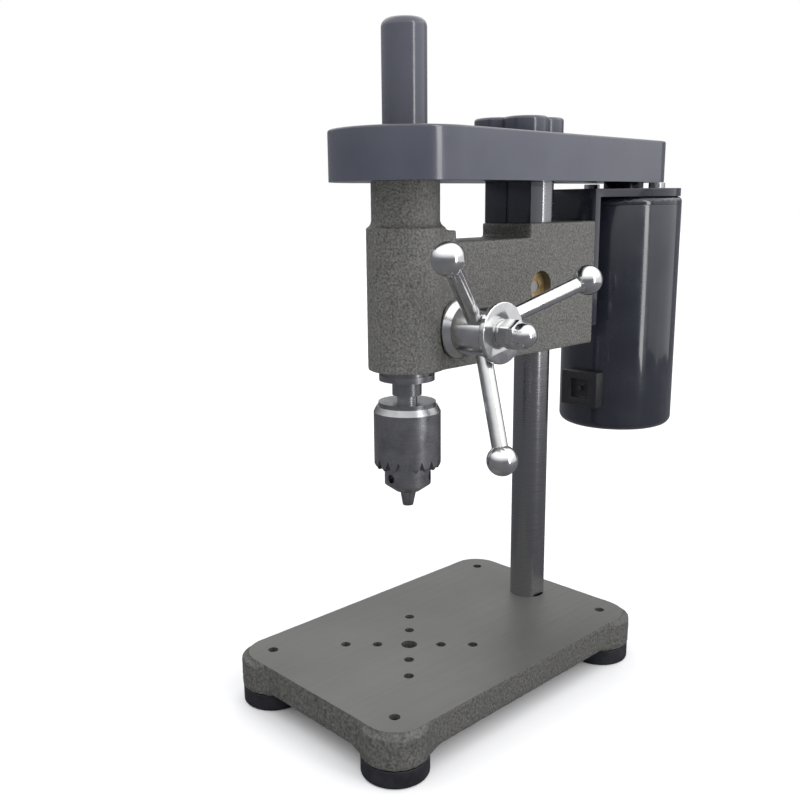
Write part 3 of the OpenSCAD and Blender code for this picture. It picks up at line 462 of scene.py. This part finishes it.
flare = rod("flare", 11.6, (0, spindle_y, head_top_z - 0.5), (0, spindle_y, head_top_z + 1.6),
            tip_radius=10.5)
web = block("web", (-side_x, spindle_y, head_top_z - 12), (side_x, -5.2, head_top_z - 1.2))
combine(head, [column_block, barrel, neck, flare, web], "UNION")
cast_surface(head, 0.5, 5, 0.1)
machining = (
    rod("hub_spotface", spotface_r, (side_x - 0.08, feed_y, feed_z), (23, feed_y, feed_z)),
    rod("spring_seat", 11.02, (-22, feed_y, feed_z), (-9.8, feed_y, feed_z)),
    rod("pinion_bore", 7.04, (-5.9, feed_y, feed_z), (20, feed_y, feed_z)),
    rod("journal_bore", 3.04, (-20, feed_y, feed_z), (-5, feed_y, feed_z)),
    rod("lock_bore", lock_bore_r, (-20, lock_y, lock_z), (20, lock_y, lock_z), 64),
    rod("quill_bore", quill_bore_r, (0, spindle_y, 100), (0, spindle_y, 180)),
    rod("column_bore", column_bore_r, (0, column_y, 100), (0, column_y, 180)),
    block("rear_face", (-20, head_rear_y, 100), (20, head_rear_y + 5, 170)),
    block("neck_face", (-20, -40, cover_z), (20, 10, cover_z + 5)),
)
combine(head, machining, "DIFFERENCE")
guide_turn = radians(200)
guide_aim = Vector((cos(guide_turn), sin(guide_turn), 0))
guide_start = Vector((0, spindle_y, feed_z + 1.7))
guide_hole = rod("guide_hole", screw_r, guide_start + guide_aim * 7, guide_start + guide_aim * 20, 32)
combine(head, [guide_hole], "DIFFERENCE")
for height in (16, 36):
    screw_hole = rod("screw_hole", screw_r, (0, head_rear_y - 8, head_z + height),
                     (0, head_rear_y + 2, head_z + height), 32)
    combine(head, [screw_hole], "DIFFERENCE")
combine(head, [rod("pin_hole", screw_r, (0, 34.95, 151.6), (0, 34.95, 158), 32)], "DIFFERENCE")

head_enamel = material("head_enamel", (0.1, 0.1, 0.095), 0.0, 0.4)
grit = noise(head_enamel, 1500, detail=5.0)
blotch = noise(head_enamel, 140, detail=3.0)
tint(head_enamel, grit, 0.32, 0.72, (0.05, 0.05, 0.046), (0.17, 0.167, 0.155))
roughen(head_enamel, blotch, 0.3, 0.7, 0.3, 0.5)
bump(head_enamel, grit, 0.4, 0.8)
bored_iron = material("bored_iron", (0.3, 0.3, 0.29), 1.0, 0.35)
lines = noise(bored_iron, 2500, stretch=(1, 1, 0.1), detail=2.0)
roughen(bored_iron, lines, 0.3, 0.7, 0.3, 0.45)
bump(bored_iron, lines, 0.01, 0.5)
head.data.materials.append(head_enamel)
head.data.materials.append(bored_iron)


def in_bore(point):
    x, y, z = point / mm
    in_quill = hypot(x, y - spindle_y) < quill_bore_r + 0.05
    in_column = hypot(x, y - column_y) < column_bore_r + 0.1
    on_feed = hypot(y - feed_y, z - feed_z) < spotface_r + 0.05 and abs(x) < side_x + 0.05
    in_lock = hypot(y - lock_y, z - lock_z) < lock_bore_r + 0.06
    return in_quill or in_column or on_feed or in_lock


for face in head.data.polygons:
    if in_bore(face.center):
        face.material_index = 1
smooth(head, 40)
stands_for(head, "head_casting", "head")

# ---- Column lock ------------------------------------------------------------
# Two brass shoes are drawn together round the column by a stud with a fluted
# knob on its left end. The right shoe's faced end shows in the head's side.
shoe_brass = material("shoe_brass", (0.75, 0.5, 0.17), 1.0, 0.36)
rings = turned(shoe_brass, "X", (0, lock_y, lock_z), 0.35)
tarnish = noise(shoe_brass, 420, detail=4.0)
tint(shoe_brass, tarnish, 0.32, 0.72, (0.38, 0.25, 0.1), (0.62, 0.47, 0.24))
roughen(shoe_brass, rings, 0.3, 0.9, 0.3, 0.48)
bump(shoe_brass, rings, 0.02, 0.7)
dress(shoe_brass, "lock_shoe_right", "lock_shoe_left")


def merge_flat(piece, nearest=0):
    """Merges points up to nearest millimetres apart and clears edges inside flat faces."""
    select_only(piece)
    bpy.ops.object.mode_set(mode="EDIT")
    bpy.ops.mesh.select_all(action="SELECT")
    if nearest:
        bpy.ops.mesh.remove_doubles(threshold=nearest * mm)
    bpy.ops.mesh.dissolve_limited(angle_limit=radians(0.5))
    bpy.ops.object.mode_set(mode="OBJECT")


def finished_copy(node, bevel, segments):
    """A copy of one of the frame's pieces, merged and with its edges broken."""
    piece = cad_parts[node].copy()
    piece.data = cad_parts[node].data.copy()
    piece.name = piece.data.name = node + "_finished"
    scene.collection.objects.link(piece)
    piece.parent = None
    piece.matrix_world = Matrix()
    piece.data.materials.clear()
    merge_flat(piece, 0.002)
    edge = piece.modifiers.new("edge", "BEVEL")
    edge.width = bevel * mm
    edge.segments = segments
    edge.limit_method = "ANGLE"
    edge.angle_limit = radians(30)
    apply_modifiers(piece)
    smooth(piece, 30)
    return piece


def carry(node, bevel, made, body, segments=2):
    """Puts a finished copy in the place of one of the frame's pieces."""
    piece = finished_copy(node, bevel, segments)
    piece.data.materials.append(made)
    stands_for(piece, node, body)


navy_plastic = material("navy_plastic", (0.03, 0.032, 0.045), 0.0, 0.24, coat=0.35)
peel = noise(navy_plastic, 420, detail=2.0)
haze = noise(navy_plastic, 45, detail=5.0)
tint(navy_plastic, haze, 0.3, 0.75, (0.052, 0.055, 0.075), (0.066, 0.069, 0.09))
roughen(navy_plastic, haze, 0.3, 0.75, 0.14, 0.26)
bump(navy_plastic, peel, 0.008, 0.5)
carry("lock_knob", 0.4, navy_plastic, "column_lock", 3)

# ---- Return spring ----------------------------------------------------------
# A flat blue spring wound in an enamelled cup, pressed in the head's left side.
navy_enamel = material("navy_enamel", (0.02, 0.022, 0.034), 0.0, 0.2, coat=0.5)
peel = noise(navy_enamel, 520, detail=2.0)
haze = noise(navy_enamel, 70, detail=5.0)
tint(navy_enamel, haze, 0.3, 0.75, (0.013, 0.0145, 0.022), (0.02, 0.022, 0.032))
roughen(navy_enamel, haze, 0.3, 0.75, 0.12, 0.24)
bump(navy_enamel, peel, 0.01, 0.5)
carry("spring_cup", 0.5, navy_enamel, "head", 3)

spring_steel = material("spring_steel", (0.12, 0.16, 0.28), 1.0, 0.3)
heat = noise(spring_steel, 300, detail=3.0)
tint(spring_steel, heat, 0.3, 0.7, (0.08, 0.12, 0.26), (0.22, 0.24, 0.3))
roughen(spring_steel, heat, 0.3, 0.7, 0.24, 0.38)
dress(spring_steel, "return_spring")
dress(fastener_steel, "pinion_circlip", "spindle_circlip")

# ---- Post and guard plate ---------------------------------------------------
# A milled block stands on the head in front of the column; a thin steel plate
# screwed on it closes the belt drive from below. Both are enamelled.
carry("cover_post", 0.45, navy_enamel, "head", 3)
carry("guard_plate", 0.2, navy_enamel, "head")

# ---- Motor bracket and motor ------------------------------------------------
# A bent steel plate screwed to the head's rear carries the motor, a deep-drawn
# can with a pressed end bell and a small moulded socket low on its front.
carry("motor_bracket", 0.6, navy_enamel, "head", 3)
carry("motor_can", 0.25, navy_enamel, "head")
carry("motor_end_bell", 0.35, navy_enamel, "head")
socket_plastic = material("socket_plastic", (0.012, 0.012, 0.014), 0.0, 0.4)
grain = noise(socket_plastic, 1800, detail=3.0)
tint(socket_plastic, grain, 0.3, 0.7, (0.01, 0.01, 0.012), (0.024, 0.024, 0.027))
roughen(socket_plastic, grain, 0.3, 0.7, 0.34, 0.5)
bump(socket_plastic, grain, 0.03, 0.5)
carry("power_inlet", 0.4, socket_plastic, "head")

# ---- Inside the motor -------------------------------------------------------
# Ferrite magnets, a wound armature with its commutator, carbon brushes in a
# moulded holder, and a ball bearing at each end of the shaft.
ferrite = material("ferrite", (0.06, 0.06, 0.065), 0.1, 0.6)
grain = noise(ferrite, 1500, detail=4.0)
tint(ferrite, grain, 0.3, 0.7, (0.04, 0.04, 0.045), (0.09, 0.09, 0.1))
bump(ferrite, grain, 0.05, 0.6)
dress(ferrite, "motor_magnets")
winding = material("winding", (0.42, 0.17, 0.07), 0.8, 0.32)
wires = noise(winding, 2200, stretch=(1, 1, 0.04), detail=1.0)
tint(winding, wires, 0.35, 0.65, (0.2, 0.06, 0.02), (0.6, 0.27, 0.12))
bump(winding, wires, 0.25, 0.8)
dress(winding, "armature")
copper_bars = material("copper_bars", (0.7, 0.35, 0.2), 1.0, 0.3)
rub = turned(copper_bars, "Z", (0, motor_y, 0), 0.3)
tint(copper_bars, rub, 0.3, 1.0, (0.4, 0.18, 0.1), (0.8, 0.45, 0.28))
bump(copper_bars, rub, 0.02, 0.6)
dress(copper_bars, "commutator")
carbon = material("carbon", (0.03, 0.03, 0.03), 0.2, 0.55)
grain = noise(carbon, 2500, detail=3.0)
tint(carbon, grain, 0.3, 0.7, (0.02, 0.02, 0.02), (0.06, 0.06, 0.06))
bump(carbon, grain, 0.03, 0.5)
dress(carbon, "brushes")
phenolic = material("phenolic", (0.18, 0.06, 0.03), 0.0, 0.4)
fibre = noise(phenolic, 900, stretch=(1, 1, 0.3), detail=4.0)
tint(phenolic, fibre, 0.3, 0.7, (0.12, 0.035, 0.015), (0.27, 0.1, 0.05))
bump(phenolic, fibre, 0.03, 0.4)
dress(phenolic, "brush_holder")
bearing_steel = material("bearing_steel", (0.6, 0.6, 0.6), 1.0, 0.16)
lap = noise(bearing_steel, 3000, stretch=(1, 1, 0.2), detail=2.0)
roughen(bearing_steel, lap, 0.3, 0.7, 0.12, 0.22)
bump(bearing_steel, lap, 0.003, 0.5)
dress(bearing_steel, "motor_bearings", "pulley_bearings", "quill_bearings")

# ---- Belt drive -------------------------------------------------------------
# Two turned aluminium pulleys with round grooves and a moulded round belt.
pulley_aluminium = material("pulley_aluminium", (0.65, 0.66, 0.67), 1.0, 0.28)
rings = turned(pulley_aluminium, "Z", (0, spindle_y, 0), 0.3)
roughen(pulley_aluminium, rings, 0.3, 0.9, 0.22, 0.36)
bump(pulley_aluminium, rings, 0.015, 0.6)
carry("spindle_pulley", 0.2, pulley_aluminium, "spindle_pulley")
carry("motor_pulley", 0.2, pulley_aluminium, "motor_rotor")
belt_rubber = material("belt_rubber", (0.7, 0.35, 0.04), 0.0, 0.45)
wear = noise(belt_rubber, 500, detail=4.0)
tint(belt_rubber, wear, 0.3, 0.75, (0.45, 0.2, 0.02), (0.75, 0.4, 0.05))
bump(belt_rubber, wear, 0.03, 0.4)
dress(belt_rubber, "drive_belt")

# ---- Belt cover -------------------------------------------------------------
# A deep moulded cover tapers from the spindle's end to the motor's, with a
# closed tower over the spindle's top. It is glossy, with small round edges.
cover_top_z = 184.3
tower_top_z = corners("belt_cover")[1][2]


def tapered(name, low, high, front_r, rear_r):
    """A round-ended block that narrows from the spindle to the motor."""
    front = rod(name, front_r, (0, spindle_y, low), (0, spindle_y, high), 144)
    rear = rod("rear", rear_r, (0, motor_y, low), (0, motor_y, high))
    shape = join([front, rear], name)
    bpy.ops.object.mode_set(mode="EDIT")
    bpy.ops.mesh.select_all(action="SELECT")
    bpy.ops.mesh.convex_hull()
    bpy.ops.object.mode_set(mode="OBJECT")
    return shape


def on_top(points, nearest, farthest):
    """Whether points of the cover's top lie between two distances from the spindle."""
    return all(abs(p.z - cover_top_z) < 0.01 and nearest <= hypot(p.x, p.y - spindle_y) < farthest
               for p in points)


cover = tapered("belt_cover_visual", cover_z, cover_top_z, 23.2, 15)
merge_flat(cover)
tower = rod("tower", 6.8, (0, spindle_y, cover_top_z - 1), (0, spindle_y, tower_top_z))
round_edges(tower, lambda a, b: a.z > tower_top_z - 0.5 and b.z > tower_top_z - 0.5, 2.5, 6)
combine(cover, [tower], "UNION")
round_edges(cover, lambda a, b: on_top((a, b), 7.5, 200), 0.7)
round_edges(cover, lambda a, b: on_top((a, b), 0, 6.9), 0.8)
hollow = tapered("hollow", cover_z - 2, cover_top_z - 1.5, 21.7, 13.5)
combine(cover, [
    hollow,
    rod("tower_bore", 5.3, (0, spindle_y, cover_z - 3), (0, spindle_y, tower_top_z - 1.5), 64),
    rod("knob_hole", 1.8, (0, lock_y, cover_z), (0, lock_y, 190), 32),
], "DIFFERENCE")
cover.data.materials.append(navy_plastic)
smooth(cover, 30)
stands_for(cover, "belt_cover", "belt_cover")

# ---- Cover knob -------------------------------------------------------------
# A moulded four-lobed knob with soft edges, on a screw down into the post.
knob_low, knob_high = cover_top_z + 0.3, cover_top_z + 5.7
lobe_reach, lobe_r = 7.8, 7.4
knob = rod("cover_knob_visual", lobe_reach, (0, lock_y, knob_low), (0, lock_y, knob_high), 64)
lobes = []
for turn in (-36, 54, 144, 234):
    x = lobe_reach * cos(radians(turn))
    y = lock_y + lobe_reach * sin(radians(turn))
    lobes.append(rod("lobe", lobe_r, (x, y, knob_low), (x, y, knob_high), 64))
combine(knob, lobes, "UNION")
merge_flat(knob)
round_edges(knob, lambda a, b: a.z > knob_high - 0.01 and b.z > knob_high - 0.01, 1.0, 5)
combine(knob, [rod("stud", 1.5, (0, lock_y, cover_z - 9), (0, lock_y, knob_low + 1), 32)], "UNION")
knob.data.materials.append(navy_plastic)
smooth(knob, 30)
stands_for(knob, "cover_knob", "cover_knob")

# ---- Feed handle ------------------------------------------------------------
# Turned and polished steel: a flanged hub on the pinion shaft, three arms with
# a ball on each, an end disc, and a domed nut on a washer that holds them.
polished_steel = material("polished_steel", (0.74, 0.74, 0.74), 1.0, 0.16)
rings = turned(polished_steel, "X", (0, feed_y, feed_z), 0.22)
smear = noise(polished_steel, 260, detail=4.0)
tint(polished_steel, smear, 0.3, 0.75, (0.66, 0.66, 0.665), (0.8, 0.8, 0.795))
roughen(polished_steel, smear, 0.3, 0.75, 0.12, 0.26)
bump(polished_steel, rings, 0.004, 0.5)
carry("feed_hub", 0.2, polished_steel, "feed")
carry("hub_end_disc", 0.15, polished_steel, "feed")
carry("acorn_nut", 0.2, polished_steel, "feed")
carry("hub_washer", 0.1, polished_steel, "feed")
dress(polished_steel, "feed_arm_1", "feed_arm_2", "feed_arm_3", "feed_ball_1", "feed_ball_2", "feed_ball_3")

# ---- Quill nut and chuck ----------------------------------------------------
# A keyed chuck in ground tool steel: body with three inclined jaws, a sleeve
# with V notches for the key pressed round the split nut that drives the jaws.
chuck_steel = material("chuck_steel", (0.36, 0.36, 0.37), 1.0, 0.26)
rings = turned(chuck_steel, "Z", (0, spindle_y, 0), 0.16)
oil = noise(chuck_steel, 240, detail=4.0)
tint(chuck_steel, oil, 0.3, 0.75, (0.3, 0.3, 0.315), (0.46, 0.46, 0.47))
roughen(chuck_steel, rings, 0.3, 0.9, 0.2, 0.34)
bump(chuck_steel, rings, 0.002, 0.5)
dress(chuck_steel, "quill_nut", "chuck_body", "chuck_sleeve", "chuck_nut", "jaw_1", "jaw_2", "jaw_3")
